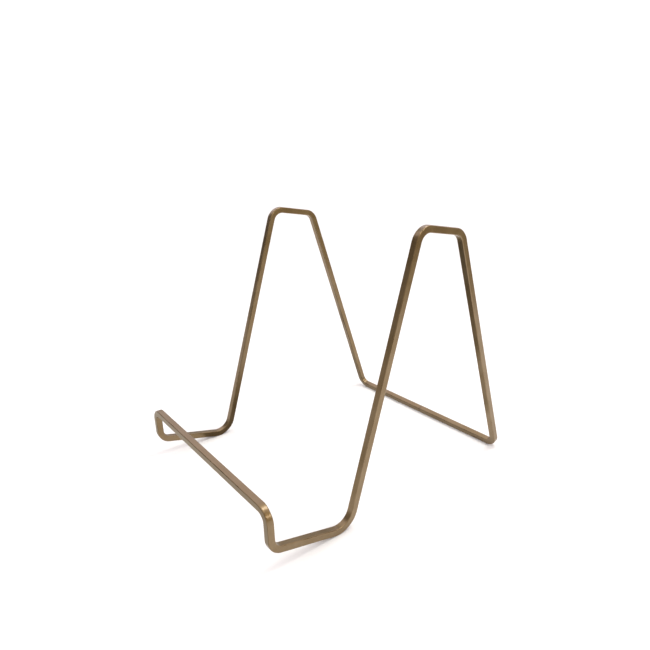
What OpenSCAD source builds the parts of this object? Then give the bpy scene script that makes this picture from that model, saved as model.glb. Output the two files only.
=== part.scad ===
// Photo album stand: a small easel bent from one slim square metal bar into a closed loop.
// +X is to the right seen from the front, +Y is to the back and +Z is up. The origin is on the
// floor, in the middle of the stand's footprint. Every corner is a true arc of the same bar.

/* [Bar] */
// Side of the square bar
bar = 4; // [3:0.5:6]
// Radius of the bar's softened long edges
edge_r = 0.5; // [0.3:0.1:1]

/* [Stand] */
// Width over the outside of the two sides
stand_w = 140; // [100:1:220]
// Back supports, length from heel corner to top corner
support_len = 166; // [120:1:220]
// Back supports, lean back from upright
lean = 16; // [10:0.5:25]
// Ledge arms, length from heel corner to front corner
ledge_len = 51.5; // [40:0.5:80]
// Ledge arms, fall towards the back
ledge_slope = 13.5; // [8:0.5:20]
// Lip risers, length from ledge corner to lip corner
riser_len = 21.5; // [18:0.5:40]
// Lip risers, lean forward from upright
riser_lean = 2; // [0:0.5:6]
// Top links, length between the two top corners
link_len = 34; // [24:1:60]
// Top links, fall towards the back
link_fall = 8; // [0:0.5:15]
// Rear legs, splay back from upright
leg_splay = 20.5; // [12:0.5:30]

/* [Bends] */
// Lip corners, radius on the bar's centreline
lip_bend_r = 6.5; // [4:0.5:9]
// Ledge front corners, radius on the bar's centreline
ledge_bend_r = 7.5; // [4:0.5:10]
// Heel corners that touch the floor, radius on the bar's centreline
heel_bend_r = 11; // [6:0.5:16]
// Both top corners, radius on the bar's centreline
top_bend_r = 8.5; // [5:0.5:10]
// Rear floor corners, radius on the bar's centreline
rear_bend_r = 6; // [4:0.5:12]

/* [Weld] */
// Length of the flush butt weld that closes the loop
weld_len = 1.6; // [1:0.2:3]

/* [Hidden] */
$fn = 48;
finish = "#a98c6c";
weld_finish = "#9b8064";

// Headings in the side plane, in degrees from +Y towards +Z, going round from the lip
riser_dir = riser_lean - 90;
ledge_dir = -ledge_slope;
support_dir = 90 - lean;
link_dir = -link_fall;
leg_dir = leg_splay - 90;

// How far a sharp corner point lies from the start of its bend
function tangent(r, from_dir, to_dir) = r * tan(abs(to_dir - from_dir) / 2);
// The [y, z] point a distance away in a heading
function go(point, heading, distance) = point + distance * [cos(heading), sin(heading)];
// From the bar's centreline to the outermost point of its section, turned by an angle
function reach(angle) = (bar / 2 - edge_r) * (cos(angle) + sin(angle)) + edge_r;

ledge_tangent = tangent(ledge_bend_r, riser_dir, ledge_dir);
heel_tangent = tangent(heel_bend_r, ledge_dir, support_dir);
front_top_tangent = tangent(top_bend_r, support_dir, link_dir);
rear_top_tangent = tangent(top_bend_r, link_dir, leg_dir);

// Heights that put the underside of the heel bends and of the rear floor bar at zero
heel_z = heel_bend_r + bar / 2 - heel_tangent * sin(ledge_slope) - heel_bend_r * cos(ledge_slope);
rear_z = reach(leg_splay);

// Sharp corner points [y, z] with the heel at y = 0, before the loop is centred on the origin
heel_raw = [0, heel_z];
foot_raw = go(heel_raw, ledge_dir + 180, ledge_len);
lip_raw = go(foot_raw, riser_dir + 180, riser_len);
peak_raw = go(heel_raw, support_dir, support_len);
shoulder_raw = go(peak_raw, link_dir, link_len);
leg_len = (shoulder_raw[1] - rear_z) / cos(leg_splay);
rear_raw = go(shoulder_raw, leg_dir, leg_len);

front_y = lip_raw[0] - reach(riser_lean);
back_y = rear_raw[0] + reach(leg_splay);
centring = [-(front_y + back_y) / 2, 0];

// Centred corner points: lip, foot of the riser, heel, peak, shoulder and rear
lip = lip_raw + centring;
foot = foot_raw + centring;
heel = heel_raw + centring;
peak = peak_raw + centring;
shoulder = shoulder_raw + centring;
rear = rear_raw + centring;

// Centreline of each side
side_x = (stand_w - bar) / 2;

// Section of the bar: a square with its four edges softened by true arcs
module bar_section() {
    flat = bar - 2 * edge_r;
    square([flat, bar], center = true);
    square([bar, flat], center = true);
    for (x = [-flat / 2, flat / 2], y = [-flat / 2, flat / 2]) {
        translate([x, y]) circle(r = edge_r);
    }
}

// A straight length of bar along +Z
module straight(length) {
    linear_extrude(length) bar_section();
}

// An arc of bar about the Z axis, from +X anticlockwise
module arc(r, angle) {
    rotate_extrude(angle = angle) translate([r, 0]) bar_section();
}

// A straight length in the side plane, between two corner points, short of both bends
module side_run(from, heading, length, from_tangent, to_tangent) {
    start = go(from, heading, from_tangent);
    translate([side_x, start[0], start[1]])
        rotate([heading - 90, 0, 0])
            straight(length - from_tangent - to_tangent);
}

// A bend in the side plane that rounds a corner point between two headings
module side_bend(corner, from_dir, to_dir, r) {
    turn = to_dir - from_dir;
    side = sign(turn);
    centre = go(corner, (from_dir + to_dir) / 2 + 90 * side, r / cos(turn / 2));
    start = side > 0 ? from_dir - 90 : to_dir + 90;
    translate([side_x, centre[0], centre[1]])
        rotate([90, 0, 90])
            rotate([0, 0, start])
                arc(r, abs(turn));
}

// The leaning plane that holds a cross bar and its two corner bends
module cross_plane(corner, angle) {
    translate([0, corner[0], corner[1]]) rotate([angle, 0, 0]) children();
}

// A corner bend between a cross bar and a side, opening downwards or upwards
module cross_bend(r, up) {
    translate([side_x - r, 0, up ? r : -r])
        rotate([90, 0, 0])
            rotate([0, 0, up ? -90 : 0])
                arc(r, 90);
}

module front_lip_bar() {
    length = 2 * (side_x - lip_bend_r);
    color(finish)
        cross_plane(lip, riser_lean)
            translate([-length / 2, 0, 0]) rotate([0, 90, 0]) straight(length);
}

module lip_corner_bend() {
    color(finish) cross_plane(lip, riser_lean) cross_bend(lip_bend_r, false);
}

module lip_riser() {
    color(finish) side_run(lip, riser_dir, riser_len, lip_bend_r, ledge_tangent);
}

module ledge_front_bend() {
    color(finish) side_bend(foot, riser_dir, ledge_dir, ledge_bend_r);
}

module ledge_arm() {
    color(finish) side_run(foot, ledge_dir, ledge_len, ledge_tangent, heel_tangent);
}

module heel_bend() {
    color(finish) side_bend(heel, ledge_dir, support_dir, heel_bend_r);
}

module back_support() {
    color(finish) side_run(heel, support_dir, support_len, heel_tangent, front_top_tangent);
}

module top_front_bend() {
    color(finish) side_bend(peak, support_dir, link_dir, top_bend_r);
}

module top_link() {
    color(finish) side_run(peak, link_dir, link_len, front_top_tangent, rear_top_tangent);
}

module top_rear_bend() {
    color(finish) side_bend(shoulder, link_dir, leg_dir, top_bend_r);
}

module rear_leg() {
    color(finish) side_run(shoulder, leg_dir, leg_len, rear_top_tangent, rear_bend_r);
}

module rear_corner_bend() {
    color(finish) cross_plane(rear, leg_splay) cross_bend(rear_bend_r, true);
}

// Half of the rear floor bar, from the weld to the corner bend
module rear_floor_bar() {
    length = side_x - rear_bend_r - weld_len / 2;
    color(finish)
        cross_plane(rear, leg_splay)
            translate([weld_len / 2, 0, 0]) rotate([0, 90, 0]) straight(length);
}

// Butt weld, dressed flush, that closes the loop in the middle of the rear floor bar
module butt_weld() {
    color(weld_finish)
        cross_plane(rear, leg_splay)
            translate([-weld_len / 2, 0, 0]) rotate([0, 90, 0]) straight(weld_len);
}

module left() {
    mirror([1, 0, 0]) children();
}

front_lip_bar();
lip_corner_bend();  // lip_corner_bend_right
left() lip_corner_bend();  // lip_corner_bend_left
lip_riser();  // lip_riser_right
left() lip_riser();  // lip_riser_left
ledge_front_bend();  // ledge_front_bend_right
left() ledge_front_bend();  // ledge_front_bend_left
ledge_arm();  // ledge_arm_right
left() ledge_arm();  // ledge_arm_left
heel_bend();  // heel_bend_right
left() heel_bend();  // heel_bend_left
back_support();  // back_support_right
left() back_support();  // back_support_left
top_front_bend();  // top_front_bend_right
left() top_front_bend();  // top_front_bend_left
top_link();  // top_link_right
left() top_link();  // top_link_left
top_rear_bend();  // top_rear_bend_right
left() top_rear_bend();  // top_rear_bend_left
rear_leg();  // rear_leg_right
left() rear_leg();  // rear_leg_left
rear_corner_bend();  // rear_corner_bend_right
left() rear_corner_bend();  // rear_corner_bend_left
rear_floor_bar();  // rear_floor_bar_right
left() rear_floor_bar();  // rear_floor_bar_left
butt_weld();
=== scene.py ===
# %% [markdown]
# # Album stand: one slim square bar, bent into a closed loop
# The real stand starts as one straight length of 4 mm square steel bar with softened edges. It is
# bent twelve times on a small former, its two ends are welded behind, and it is lacquered in a
# satin champagne bronze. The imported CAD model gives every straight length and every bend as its
# own node. Here each node gets a finished piece of the same size in the same place: we cut a bar
# end, extrude it into lengths and spin it round formers, as a workshop would, and then lacquer it.

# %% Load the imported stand
import math

import bmesh
import bpy
from mathutils import Matrix, Vector


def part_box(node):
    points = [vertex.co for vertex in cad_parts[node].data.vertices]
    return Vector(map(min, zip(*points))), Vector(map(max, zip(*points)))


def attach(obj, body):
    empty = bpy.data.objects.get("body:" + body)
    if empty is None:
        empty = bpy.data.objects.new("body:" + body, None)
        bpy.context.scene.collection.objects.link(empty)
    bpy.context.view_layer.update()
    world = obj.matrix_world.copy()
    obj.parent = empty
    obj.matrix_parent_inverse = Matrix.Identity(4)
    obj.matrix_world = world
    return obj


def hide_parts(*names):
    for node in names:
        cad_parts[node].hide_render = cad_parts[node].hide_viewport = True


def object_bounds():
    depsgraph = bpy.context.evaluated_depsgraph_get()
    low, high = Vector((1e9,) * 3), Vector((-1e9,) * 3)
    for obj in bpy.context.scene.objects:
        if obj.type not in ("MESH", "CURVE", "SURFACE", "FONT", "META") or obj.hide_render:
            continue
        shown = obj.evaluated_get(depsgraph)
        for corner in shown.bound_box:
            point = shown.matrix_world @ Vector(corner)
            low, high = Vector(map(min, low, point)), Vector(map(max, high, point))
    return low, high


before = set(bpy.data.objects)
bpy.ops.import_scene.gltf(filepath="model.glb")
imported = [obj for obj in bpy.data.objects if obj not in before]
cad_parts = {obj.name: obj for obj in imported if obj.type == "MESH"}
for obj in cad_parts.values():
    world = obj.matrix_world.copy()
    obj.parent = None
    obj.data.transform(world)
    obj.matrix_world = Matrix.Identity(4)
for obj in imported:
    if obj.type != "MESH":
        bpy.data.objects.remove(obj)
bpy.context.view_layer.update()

MM = 0.001

print("nodes:", len(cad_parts))

# %% [markdown]
# ## The bar and where it runs
# A bent bar is easiest to describe as a walk: start in the middle of the front lip, go to the
# right, and follow the bar down the riser, back along the ledge, up the support, over the top and
# down the rear leg to the weld. Each straight length has a heading. Its box in the CAD model gives
# its middle, and the heading turns the box's size into a length, so no length is typed in twice.

# %% The bar's own sizes and the headings of the walk
BAR = 0.004
HALF_BAR = BAR / 2
EDGE_RADIUS = 0.0005
FLAT = BAR - 2 * EDGE_RADIUS


def side_heading(degrees):
    """A direction in the plane of a side, turned from straight back towards straight up."""
    angle = math.radians(degrees)
    return Vector((0, math.cos(angle), math.sin(angle)))


RIGHTWARDS = Vector((1, 0, 0))
HEADINGS = {
    "front_lip_bar": RIGHTWARDS,
    "lip_riser_right": side_heading(-88),
    "ledge_arm_right": side_heading(-13.5),
    "back_support_right": side_heading(74),
    "top_link_right": side_heading(-8),
    "rear_leg_right": side_heading(-69.5),
    "rear_floor_bar_right": -RIGHTWARDS,
    "butt_weld": -RIGHTWARDS,
}

# %% Measure each straight length from its box


def measure_run(node):
    """The two ends of a straight node, in the order of the walk."""
    low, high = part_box(node)
    heading = HEADINGS[node]
    axis = max(range(3), key=lambda a: abs(heading[a]))
    along = abs(heading[axis])
    end_faces = BAR * math.sqrt(max(0, 1 - along**2))
    length = (high[axis] - low[axis] - end_faces) / along
    middle = (low + high) / 2
    return middle - heading * length / 2, middle + heading * length / 2


RUNS = {node: measure_run(node) for node in HEADINGS}
for node, (start, end) in RUNS.items():
    print(f"{node:22s} {(end - start).length / MM:7.2f} mm")

# %% [markdown]
# ## Bar space
# Lacquer, drawing lines and grain all follow the bar round every bend. So each piece keeps a second
# set of coordinates, as if the bar had never been bent: across the bar away from the loop, across
# it the other way, and along it from the middle of the lip. They are in millimetres, so that the
# scale of a grain reads as a size. Materials read them from an attribute called bar_space. A second
# one, bend_strain, says how far a point was stretched (up to 1) or squeezed (down to -1).

# %% A small kit for the bench
EDGE_STEPS = 5
FLAT_CUTS = 6
LONG_EDGE = 0.9 * FLAT  # tells the four flats from the short steps round the corners
MERGE_WITHIN = 1e-7
PICK_MODES = {"verts": "VERT", "edges": "EDGE"}


def lay_out(name):
    """A new bar end, flat on the bench at the origin, with its four corners rounded."""
    bpy.ops.object.select_all(action="DESELECT")
    bpy.ops.mesh.primitive_plane_add(size=BAR)
    piece = bpy.context.object
    piece.name = name
    piece.data.name = name
    bpy.ops.object.mode_set(mode="EDIT")
    bpy.ops.mesh.select_all(action="SELECT")
    bpy.ops.mesh.bevel(
        offset=EDGE_RADIUS, segments=EDGE_STEPS, profile=0.5, affect="VERTICES"
    )
    return piece


def pick(piece, kind, test):
    """In edit mode, selects only the verts or edges that pass a test."""
    bpy.ops.mesh.select_mode(type=PICK_MODES[kind])
    bpy.ops.mesh.select_all(action="DESELECT")
    mesh = bmesh.from_edit_mesh(piece.data)
    for part in getattr(mesh, kind):
        if test(part):
            part.select_set(True)
    mesh.select_flush_mode()
    bmesh.update_edit_mesh(piece.data)


def cut_flats(piece):
    """Cuts the four flats of a bar end into strips, and then selects all of it."""
    pick(piece, "edges", lambda edge: edge.calc_length() > LONG_EDGE)
    bpy.ops.mesh.subdivide(number_cuts=FLAT_CUTS)
    bpy.ops.mesh.select_all(action="SELECT")


def close_up():
    """Ends an edit: doubles merged, faces turned outwards, back to object mode."""
    bpy.ops.mesh.select_all(action="SELECT")
    bpy.ops.mesh.remove_doubles(threshold=MERGE_WITHIN)
    bpy.ops.mesh.normals_make_consistent(inside=False)
    bpy.ops.object.mode_set(mode="OBJECT")


def note(piece, name, kind, field, values):
    """Writes one value, or one vector, for each vertex of a piece into a named attribute."""
    stored = piece.data.attributes
    attribute = stored.get(name) or stored.new(name, kind, "POINT")
    attribute.data.foreach_set(field, values)


# %% [markdown]
# ## Straight lengths
# A straight length is the bar end extruded. Its flats stay truly flat under the light if the
# rounded edges carry all the shading, which is what weighted normals do at the end.

# %% Extrude a straight length


def straight_length(name, length):
    """A length that starts at the origin and runs up the Z axis."""
    piece = lay_out(name)
    bpy.ops.mesh.extrude_region_move(TRANSFORM_OT_translate={"value": (0, 0, length)})
    close_up()
    return piece


# %% [markdown]
# ## Bends
# A bend is the bar end spun about its former. When real square bar is bent cold, the metal on the
# outside stretches and draws in, its outer face sinks a little, and the squeezed inside keeps its
# width. Three moves with proportional editing do the same: the outside is narrowed at the middle
# of the bend, the inside is widened back, and the outer face is sunk. All fade out before the
# straight lengths start, so the joins stay true to the square section.

# %% Spin a bend about its former
SPIN_STEPS = 36
RING_REACH = 0.6  # in spin steps, so that a pick takes one ring of points and no more
DRAW_IN = 0.93
DRAW_IN_REACH = 0.95  # of the way from the middle of the bend to its ends
SWELL_BACK = 1.012
SWELL_REACH = 0.6 * BAR
SINK = 0.00007


def polar(point, radius):
    """How far outside the bend's middle line a point lies, and its angle round the former."""
    arm = Vector((point.x + radius, 0, point.z))
    return arm.length - radius, math.atan2(arm.z, arm.x)


def bend(name, radius, turn):
    """A bend that starts upwards at the origin and turns towards -X."""
    piece = lay_out(name)
    cut_flats(piece)
    bpy.ops.mesh.spin(
        steps=SPIN_STEPS, angle=turn, center=(-radius, 0, 0), axis=(0, 1, 0)
    )
    close_up()
    return piece


def draw_in(piece, radius, turn):
    """Narrows and sinks the outside of a bend at its middle, and widens the inside back."""
    middle = Vector((math.cos(turn / 2), 0, math.sin(turn / 2)))
    ring = RING_REACH * turn / SPIN_STEPS

    def on_middle_ring(vertex, side):
        out, angle = polar(vertex.co, radius)
        return out * side > HALF_BAR - EDGE_RADIUS / 2 and abs(angle - turn / 2) < ring

    bpy.ops.object.mode_set(mode="EDIT")
    pick(piece, "verts", lambda v: on_middle_ring(v, 1))
    bpy.ops.transform.resize(
        value=(1, DRAW_IN, 1),
        use_proportional_edit=True,
        proportional_size=DRAW_IN_REACH * (radius + HALF_BAR) * math.sin(turn / 2),
    )
    pick(piece, "verts", lambda v: on_middle_ring(v, -1))
    bpy.ops.transform.resize(
        value=(1, SWELL_BACK, 1), use_proportional_edit=True, proportional_size=SWELL_REACH
    )
    pick(piece, "verts", lambda v: on_middle_ring(v, 1) and abs(v.co.y) < HALF_BAR / 4)
    bpy.ops.transform.translate(
        value=-SINK * middle, use_proportional_edit=True, proportional_size=HALF_BAR
    )
    bpy.ops.object.mode_set(mode="OBJECT")


# %% [markdown]
# ## From the bench to the stand
# Bench pieces start at the origin and head up the Z axis. To place one, three directions are
# enough: where it heads, which way is out of the loop, and which way the outside of its bend
# faces. Walking the bar, the outward direction stays square to the heading and only turns with it.

# %% Place a piece and note its bar space


def choose(piece):
    """In object mode, selects one piece alone and makes it the active one."""
    bpy.ops.object.select_all(action="DESELECT")
    piece.select_set(True)
    bpy.context.view_layer.objects.active = piece


def place(piece, start, heading, outside):
    """Moves a bench piece so that Z becomes the heading and X becomes the outside of its bend."""
    other = heading.cross(outside)
    turn_to = Matrix((outside, other, heading)).transposed().to_4x4()
    piece.matrix_world = Matrix.Translation(start) @ turn_to
    choose(piece)
    bpy.ops.object.transform_apply(location=True, rotation=True, scale=True)


def note_bar_space(piece, across, walked, radius=None):
    """Notes each vertex's unbent coordinates. For the bench X and Y directions, across gives
    their shares of the bar's outward and sideways directions."""
    unbent, strain = [], []
    for vertex in piece.data.vertices:
        x, y, z = vertex.co
        if radius:
            x, angle = polar(vertex.co, radius)
            z = radius * angle
        outward = x * across[0][0] + y * across[1][0]
        sideways = x * across[0][1] + y * across[1][1]
        unbent += [outward / MM, sideways / MM, (walked + z) / MM]
        strain.append(x / HALF_BAR if radius else 0.0)
    note(piece, "bar_space", "FLOAT_VECTOR", "vector", unbent)
    note(piece, "bend_strain", "FLOAT", "value", strain)


# %% Finish a piece and set it on its node
SMOOTH_BELOW = math.radians(40)


def finish_piece(piece, node, slot):
    """Smooth shading with truly flat flats, and the piece takes its CAD node's place."""
    choose(piece)
    bpy.ops.object.shade_smooth_by_angle(angle=SMOOTH_BELOW)
    bpy.ops.object.modifier_add(type="WEIGHTED_NORMAL")
    piece.modifiers[-1].keep_sharp = True
    bpy.ops.object.modifier_apply(modifier=piece.modifiers[-1].name)
    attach(piece, "root")
    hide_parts(node)


def mirror_to_left(piece, name):
    """A left-hand copy with its own mesh, faces turned outwards again, walked the other way."""
    choose(piece)
    bpy.ops.object.duplicate()
    copy = bpy.context.object
    copy.name = name
    copy.data.name = name
    copy.scale.x = -1
    bpy.ops.object.transform_apply(location=True, rotation=True, scale=True)
    bpy.ops.object.mode_set(mode="EDIT")
    close_up()
    count = len(copy.data.vertices)
    unbent = [0.0] * (3 * count)
    copy.data.attributes["bar_space"].data.foreach_get("vector", unbent)
    unbent[2::3] = [-along for along in unbent[2::3]]
    note(copy, "bar_space", "FLOAT_VECTOR", "vector", unbent)
    return copy


# %% [markdown]
# ## Walk the bar
# The walk goes from length to length. Where two lengths meet, the turn between their headings and
# the distance between their ends give the bend: a chord of a circle is twice the radius times the
# sine of half the turn. Every piece is made once for the right side and copied to the left.

# %% The bends of the walk, and the workshop names of the pieces
BENDS = [
    ("front_lip_bar", "lip_corner_bend_right", "lip_riser_right"),
    ("lip_riser_right", "ledge_front_bend_right", "ledge_arm_right"),
    ("ledge_arm_right", "heel_bend_right", "back_support_right"),
    ("back_support_right", "top_front_bend_right", "top_link_right"),
    ("top_link_right", "top_rear_bend_right", "rear_leg_right"),
    ("rear_leg_right", "rear_corner_bend_right", "rear_floor_bar_right"),
]
PIECE_NAMES = {
    "lip_corner_bend": "lip_corner",
    "lip_riser": "riser",
    "ledge_front_bend": "riser_foot",
    "ledge_arm": "ledge",
    "heel_bend": "heel",
    "back_support": "support",
    "top_front_bend": "peak",
    "top_link": "link",
    "top_rear_bend": "shoulder",
    "rear_leg": "leg",
    "rear_corner_bend": "floor_corner",
    "rear_floor_bar": "floor_bar",
}


def workshop_name(node):
    """The plain name of the piece that takes a CAD node's place."""
    kind, side = node.rsplit("_", 1)
    return f"{PIECE_NAMES[kind]}_{side}"


# %% Make both sides, walking from the lip to the weld
UNTURNED = ((1, 0), (0, 1))

made = {}
outward = -HEADINGS["lip_riser_right"]

start, end = RUNS["front_lip_bar"]
walked = (end - start).length / 2
lip = straight_length("lip", (end - start).length)
note_bar_space(lip, UNTURNED, -walked)
place(lip, start, RIGHTWARDS, outward)
made["front_lip_bar"] = lip

for before, bend_node, after in BENDS:
    heading, next_heading = HEADINGS[before], HEADINGS[after]
    start, end = RUNS[before][1], RUNS[after][0]
    turn = heading.angle(next_heading)
    radius = (end - start).length / (2 * math.sin(turn / 2))
    outside = (heading * heading.dot(next_heading) - next_heading).normalized()
    other = heading.cross(outside)
    sideways = heading.cross(outward)
    shares = [(d.dot(outward), d.dot(sideways)) for d in (outside, other)]
    piece = bend(workshop_name(bend_node), radius, turn)
    note_bar_space(piece, shares, walked, radius)
    draw_in(piece, radius, turn)
    place(piece, start, heading, outside)
    made[bend_node] = piece
    walked += radius * turn
    outward = (Matrix.Rotation(turn, 3, heading.cross(next_heading)) @ outward).normalized()

    start, end = RUNS[after]
    piece = straight_length(workshop_name(after), (end - start).length)
    note_bar_space(piece, UNTURNED, walked)
    place(piece, start, next_heading, outward)
    made[after] = piece
    walked += (end - start).length
    print(
        f"{bend_node:24s} radius {radius / MM:5.2f} mm, turn {math.degrees(turn):5.1f} degrees,"
        f" walked {walked / MM:6.1f} mm"
    )

for node, piece in list(made.items()):
    if node.endswith("_right"):
        left_node = node.replace("_right", "_left")
        made[left_node] = mirror_to_left(piece, workshop_name(left_node))
print("pieces made:", len(made))

# %% [markdown]
# ## The dressed weld
# The two ends of the bar meet in the middle of the floor bar behind. A welder runs a bead round
# them and files it nearly flush. What is left is a low, slightly uneven swelling on the four flats,
# which the lacquer covers. It is extruded in small steps, swollen in the middle of each flat by
# proportional editing, and shaken very slightly, so that it never looks cast.

# %% Run the bead and dress it
BEAD_STEPS = 8
BEAD_SWELL = 0.00012
BEAD_SHAKE = 0.000012
BEAD_SEED = 5
BEAD_REACH = 0.48  # of the weld's length
BEAD_ENDS = 0.1  # of the weld's length, left unshaken at each end
ON_FLATS = HALF_BAR - 2 * EDGE_RADIUS

weld_start, weld_end = RUNS["butt_weld"]
weld_length = (weld_end - weld_start).length
weld = lay_out("weld")
cut_flats(weld)
for step in range(BEAD_STEPS):
    bpy.ops.mesh.extrude_region_move(
        TRANSFORM_OT_translate={"value": (0, 0, weld_length / BEAD_STEPS)}
    )
close_up()
bpy.ops.object.mode_set(mode="EDIT")
for side in (Vector((1, 0, 0)), Vector((-1, 0, 0)), Vector((0, 1, 0)), Vector((0, -1, 0))):
    half_way = side * HALF_BAR + Vector((0, 0, weld_length / 2))
    pick(weld, "verts", lambda v: (v.co - half_way).length < HALF_BAR / 4)
    bpy.ops.transform.translate(
        value=BEAD_SWELL * side,
        use_proportional_edit=True,
        proportional_size=BEAD_REACH * weld_length,
    )


def on_bead(vertex):
    """True on the four flats, away from both ends and from the rounded edges."""
    x, y, z = vertex.co
    between_ends = BEAD_ENDS < z / weld_length < 1 - BEAD_ENDS
    return between_ends and min(abs(x), abs(y)) < ON_FLATS


pick(weld, "verts", on_bead)
bpy.ops.transform.vertex_random(offset=BEAD_SHAKE, uniform=1.0, seed=BEAD_SEED)
bpy.ops.object.mode_set(mode="OBJECT")
print("weld over its swelling, mm:", [round(side / MM, 3) for side in weld.dimensions])
note_bar_space(weld, UNTURNED, walked)
place(weld, weld_start, -RIGHTWARDS, outward)
made["butt_weld"] = weld

# %% Set every piece on its node
for node, piece in made.items():
    finish_piece(piece, node, "weld" if node == "butt_weld" else "bar")
visual_lo, visual_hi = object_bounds()
print("visual box in mm:", [round(side / MM, 3) for side in visual_hi - visual_lo])

# %% [markdown]
# ## Writing materials as sums
# Shader maths reads best as ordinary sums. The class below wraps one socket of a node tree: adding,
# subtracting or multiplying it adds the Math nodes, and one method adds any other node.

# %% A wire between shader nodes


class Wire:
    """One output socket of a node tree. Arithmetic on it adds Math nodes."""

    def __init__(self, tree, socket=None):
        self.tree = tree
        self.socket = socket

    def node(self, kind, settings=None, sockets=None, output=0):
        """Any node: its settings are set first, then the values or links of its sockets."""
        new = self.tree.nodes.new(kind)
        for name, value in (settings or {}).items():
            setattr(new, name, value)
        for name, value in (sockets or {}).items():
            if isinstance(value, Wire):
                self.tree.links.new(value.socket, new.inputs[name])
            else:
                new.inputs[name].default_value = value
        return Wire(self.tree, new.outputs[output] if new.outputs else None)

    def math(self, operation, *values):
        return self.node("ShaderNodeMath", {"operation": operation}, dict(enumerate(values)))

    def __add__(self, other):
        return self.math("ADD", self, other)

    def __sub__(self, other):
        return self.math("SUBTRACT", self, other)

    def __rsub__(self, other):
        return self.math("SUBTRACT", other, self)

    def __mul__(self, other):
        return self.math("MULTIPLY", self, other)

    def __abs__(self):
        return self.math("ABSOLUTE", self)

    __radd__ = __add__
    __rmul__ = __mul__

    def fade(self, start, end):
        """0 up to the start, 1 from the end, and a smooth change between them."""
        sockets = {"Value": self, "From Min": start, "From Max": end}
        return self.node("ShaderNodeMapRange", {"interpolation_type": "SMOOTHSTEP"}, sockets)

    def stretch(self, x, y, z):
        """The same vector with its three parts scaled."""
        return self.node("ShaderNodeVectorMath", {"operation": "MULTIPLY"}, {0: self, 1: (x, y, z)})

    def noise(self, scale, detail=2.0):
        """Soft noise from 0 to 1 on this vector, about one patch for each 1 / scale."""
        sockets = {"Vector": self, "Scale": scale, "Detail": detail}
        return self.node("ShaderNodeTexNoise", {}, sockets)

    def blend(self, first, second):
        """The first colour where this is 0 and the second where it is 1."""
        return self.node("ShaderNodeMix", {"data_type": "RGBA"}, {0: self, 6: first, 7: second}, 2)


def new_material(name):
    """An empty material, as its name and a wire into its node tree."""
    material = bpy.data.materials.new(name)
    material.use_nodes = True
    material.node_tree.nodes.clear()
    return material, Wire(material.node_tree)


# %% [markdown]
# ## Satin champagne bronze
# The finish is a metallic lacquer: very fine flakes in a clear warm brown. Seen close it is never
# one colour. The coat is a little thicker here and there, it has the faint skin of a sprayed coat,
# the drawing lines of the bar still show through it, it is thinnest on the four edges, and it is
# duller and slightly crazed where a bend stretched it. The four edges are also coloured lighter,
# partly as wear and partly as a painted highlight. The places that stand on the table are rubbed.
# All of these follow the bar, so they are drawn in bar space.

# %% Colours of the finish
BRONZE = (0.182, 0.121, 0.051, 1)
CHAMPAGNE = (0.216, 0.152, 0.075, 1)
# Lighter colour of rubbed places and flakes, also used as a painted highlight along the edges
BARE_METAL_AND_HIGHLIGHT = (0.360, 0.270, 0.180, 1)
HEAT_TINT = (0.140, 0.090, 0.050, 1)
MICRON = 1e-6


def satin_bronze(name, is_weld=False):
    """The lacquer on the bar, and over the weld a rougher, darker patch of it."""
    material, wire = new_material(name)
    bar = wire.node("ShaderNodeAttribute", {"attribute_name": "bar_space"}, {}, "Vector")
    strain = wire.node("ShaderNodeAttribute", {"attribute_name": "bend_strain"}, {}, "Fac")
    parts = [bar.node("ShaderNodeSeparateXYZ", {}, {0: bar}, part) for part in range(3)]
    place_now = wire.node("ShaderNodeTexCoord", {}, {}, "Object")
    height_now = wire.node("ShaderNodeSeparateXYZ", {}, {0: place_now}, 2)

    # Where each kind of detail is, from 0 to 1
    rim = wire.math("MINIMUM", abs(parts[0]), abs(parts[1])).fade(1.3, 1.75)
    clouds = bar.noise(0.06, 3.0).fade(0.35, 0.65)
    skin = bar.noise(0.9)
    flakes = bar.noise(7.0, 1.0)
    lines = bar.stretch(2.6, 2.6, 0.03).noise(1.0, 3.0)
    crazing = bar.stretch(0.7, 0.7, 4.0).noise(1.0)
    stretched = abs(strain).fade(0.2, 1.0)
    rubbed = (1 - height_now.fade(0.0002, 0.0007)) * bar.noise(1.6).fade(0.4, 0.6)
    # Lighter along the four edges: partly wear, and partly a painted highlight for their shine
    edge_wear_and_highlight = rim * bar.stretch(1, 1, 0.2).noise(0.5).fade(0.3, 0.8)

    # What it does to the colour, the gloss and the surface
    colour = clouds.blend(BRONZE, CHAMPAGNE)
    colour = (edge_wear_and_highlight * 0.35 + rubbed * 0.4).blend(colour, BARE_METAL_AND_HIGHLIGHT)
    colour = (flakes.fade(0.35, 0.7) * 0.10).blend(colour, BARE_METAL_AND_HIGHLIGHT)
    rough = 0.28 + clouds * 0.05 + lines * 0.05 - rim * 0.05 + stretched * 0.05
    relief = skin * (5 * MICRON) + lines * (4 * MICRON) + flakes * (0.6 * MICRON)
    relief = relief + crazing * stretched * (7 * MICRON)
    if is_weld:
        ripple = bar.stretch(0.5, 0.5, 5.0).noise(1.0, 3.0)
        colour = ripple.fade(0.3, 0.7).blend(colour, HEAT_TINT)
        rough = rough + 0.08 * ripple
        relief = relief + ripple * (25 * MICRON)

    bump = wire.node("ShaderNodeBump", {}, {"Height": relief, "Distance": 1.0})
    shader = wire.node(
        "ShaderNodeBsdfPrincipled",
        {},
        {
            "Base Color": colour,
            "Roughness": rough,
            "Normal": bump,
            "Metallic": 0.85,
            "Coat Weight": 0.5,
            "Coat Roughness": 0.18,
        },
    )
    wire.node("ShaderNodeOutputMaterial", {}, {"Surface": shader})
    return material


# %% Lacquer every piece
lacquer = satin_bronze("satin_champagne_bronze")
lacquered_weld = satin_bronze("lacquered_weld", is_weld=True)
for node, piece in made.items():
    piece.data.materials.append(lacquered_weld if node == "butt_weld" else lacquer)
print("lacquered pieces:", len(made))

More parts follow.
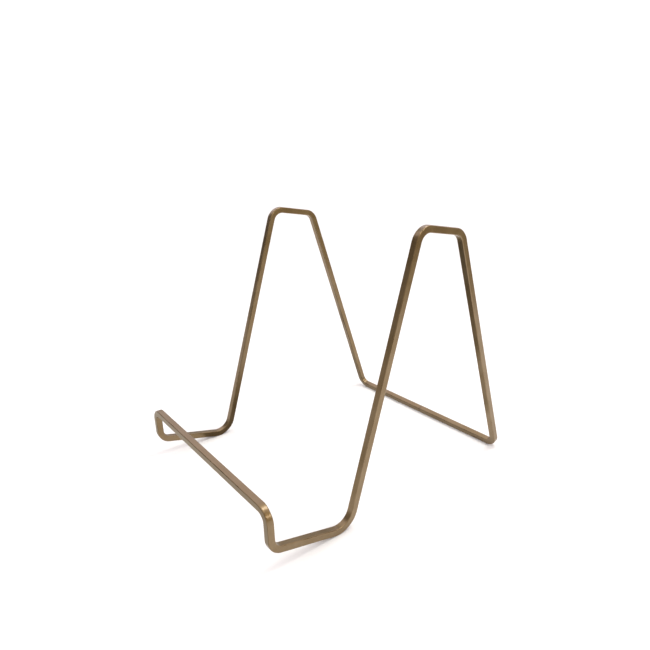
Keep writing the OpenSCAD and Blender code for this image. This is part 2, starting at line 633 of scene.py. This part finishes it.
# %% [markdown]
# ## A pale table and soft light
# The stand is shown on a plain pale table in a white room, which gives the top faces their light.
# One light hangs overhead and a warm one stands on the right, and together they put two glints on
# each outer corner. A world colour that grows brighter upwards was chosen over more lights, because
# it also fills the soft reflections evenly.

# %% The table
bpy.ops.object.select_all(action="DESELECT")
bpy.ops.mesh.primitive_plane_add(size=8)
table = bpy.context.object
table.name = "table"
PALE = (0.80, 0.82, 0.79, 1)
paint, wire = new_material("pale_table")
matt = wire.node("ShaderNodeBsdfPrincipled", {}, {"Base Color": PALE, "Roughness": 0.7})
wire.node("ShaderNodeOutputMaterial", {}, {"Surface": matt})
table.data.materials.append(paint)
print("table, mm across:", round(table.dimensions.x / MM))

# %% The room
WHITE_WALL = (1.45, 1.38, 1.42, 1)
CEILING = (1.70, 1.54, 1.68, 1)
SKYLIGHT = (1.80, 1.75, 1.70, 1)

world = bpy.data.worlds.new("soft_room")
bpy.context.scene.world = world
world.use_nodes = True
world.node_tree.nodes.clear()
wire = Wire(world.node_tree)
# The third part of the looking direction is 0 at eye level and 1 straight up
looking = wire.node("ShaderNodeTexCoord", {}, {}, "Generated")
upwards = wire.node("ShaderNodeSeparateXYZ", {}, {0: looking}, 2)
sky = upwards.fade(0.05, 0.6).blend(WHITE_WALL, CEILING)
sky = upwards.fade(0.7, 0.95).blend(sky, SKYLIGHT)
glow = wire.node("ShaderNodeBackground", {}, {"Color": sky, "Strength": 0.8})
wire.node("ShaderNodeOutputWorld", {}, {"Surface": glow})
print("nodes in the room's colour:", len(world.node_tree.nodes))

# %% The lights


def soft_light(name, place_at, size, power, colour):
    """A square area light that faces the stand."""
    bpy.ops.object.light_add(type="AREA", location=place_at)
    light = bpy.context.object
    light.name = name
    light.data.size = size
    light.data.energy = power
    light.data.color = colour
    light.rotation_euler = (-Vector(place_at)).to_track_quat("-Z", "Y").to_euler()


soft_light("overhead", (0.12, 0.35, 1.05), 0.28, 2.6, (1.0, 0.98, 0.95))
soft_light("right_window", (0.86, 0.36, 0.50), 0.18, 1.6, (1.0, 0.90, 0.76))

# %% [markdown]
# ## Cards for the reflections
# Satin metal shows its surroundings more than its own colour, so what stands round the table
# matters as much as the lights do. Real furniture would be slow to render and would cast shadows,
# so plain glowing cards take its place, as in a studio.
#
# Two large cards dim the room in front and warm it on the right. A black card in front on the left
# draws the thin dark line along each rounded edge. A warm card on the right tones the sides of the
# links, and a grey one behind calms their tops. A dimmer card laid on the table in front is painted
# shade there, which calms the front faces the same way. Two more cards lean where an album would,
# back to back, and two dark cards on the table under and behind them are its painted shade, so that
# the bar shows the album it is made to hold. Every card glows with a fixed colour, and only the
# reflections see it: it casts no shadow and lights nothing.

# %% Set up the cards


def reflection_card(name, place_at, facing, size, colour):
    """A card that is seen only in the stand's reflections. Its size is its width and height."""
    bpy.ops.mesh.primitive_plane_add(size=1, location=place_at)
    card = bpy.context.object
    card.name = name
    card.scale = (*size, 1)
    card.rotation_euler = Vector(facing).to_track_quat("Z", "Y").to_euler()
    card.visible_camera = card.visible_diffuse = card.visible_shadow = False
    paper, wire = new_material(name)
    shine = wire.node("ShaderNodeEmission", {}, {"Color": colour, "Strength": 1.0})
    wire.node("ShaderNodeOutputMaterial", {}, {"Surface": shine})
    card.data.materials.append(paper)


# Just above the table, so that a card on it isn't in the table's own surface
ON_TABLE = 0.0004
UP = (0, 0, 1)
ALBUM_FACING = HEADINGS["back_support_right"].cross(RIGHTWARDS)
ALBUM_SIZE = (0.13, 0.21)

CARDS = [
    ("dim_front", (0, -1.6, 1.1), (0, 1, 0), (5, 2.4), (0.36, 0.31, 0.25, 1)),
    ("warm_side", (1.6, 0, 1.1), (-1, 0, 0), (5, 2.4), (0.58, 0.45, 0.26, 1)),
    ("black_card", (-0.68, -0.44, 0.46), (0.84, 0.54, 0), (0.55, 0.68), (0.03, 0.03, 0.03, 1)),
    ("warm_card", (0.40, 0.32, 0.11), (-0.78, -0.62, 0), (0.7, 0.22), (0.48, 0.40, 0.26, 1)),
    ("grey_card", (-0.82, 0.65, 0.27), (0.78, -0.62, 0), (1.4, 0.54), (0.50, 0.48, 0.47, 1)),
    ("album_front", (0, -0.011, 0.118), ALBUM_FACING, ALBUM_SIZE, (0.72, 0.68, 0.64, 1)),
    ("album_back", (0, -0.010, 0.118), ALBUM_FACING, ALBUM_SIZE, (0.06, 0.075, 0.09, 1)),
    # Painted shade: a dimmer patch of table in front, seen only in the reflections
    ("painted_front_shade", (-0.05, -0.184, ON_TABLE), UP, (0.36, 0.172), (0.80, 0.76, 0.69, 1)),
    # Painted shade of the album on the table, under and behind it, seen only in the reflections
    ("album_shade", (-0.065, -0.01, ON_TABLE), UP, (0.17, 0.10), (0.18, 0.16, 0.13, 1)),
    ("soft_shade", (-0.03, 0.068, ON_TABLE), UP, (0.16, 0.056), (0.66, 0.62, 0.56, 1)),
]
for card in CARDS:
    reflection_card(*card)
print("reflection cards:", len(CARDS))

# %% [markdown]
# ## The camera
# The stand is seen from the right of its front and from slightly above, as someone sitting at the
# table sees it. The lens is a wide one and stands close, which makes the near side look much
# larger than the far one. The camera is aimed by two angles, because they are easier to change by
# hand than a rotation is: how far it has gone round from the front, and how far it looks down.

# %% The camera
LENS = 28.94
CAMERA_PLACE = Vector((0.24772, -0.20287, 0.19262))
AZIMUTH = math.radians(51.361)
ELEVATION = math.radians(17.577)

bpy.ops.object.camera_add(location=CAMERA_PLACE)
camera = bpy.context.object
camera.data.lens = LENS
camera.data.clip_start = 0.01
backwards = Vector((
    math.sin(AZIMUTH) * math.cos(ELEVATION),
    -math.cos(AZIMUTH) * math.cos(ELEVATION),
    math.sin(ELEVATION),
))
camera.rotation_euler = (-backwards).to_track_quat("-Z", "Y").to_euler()
bpy.context.scene.camera = camera
bpy.context.scene.view_settings.view_transform = "Standard"
print("camera, mm from the middle of the stand:", round(CAMERA_PLACE.length / MM))
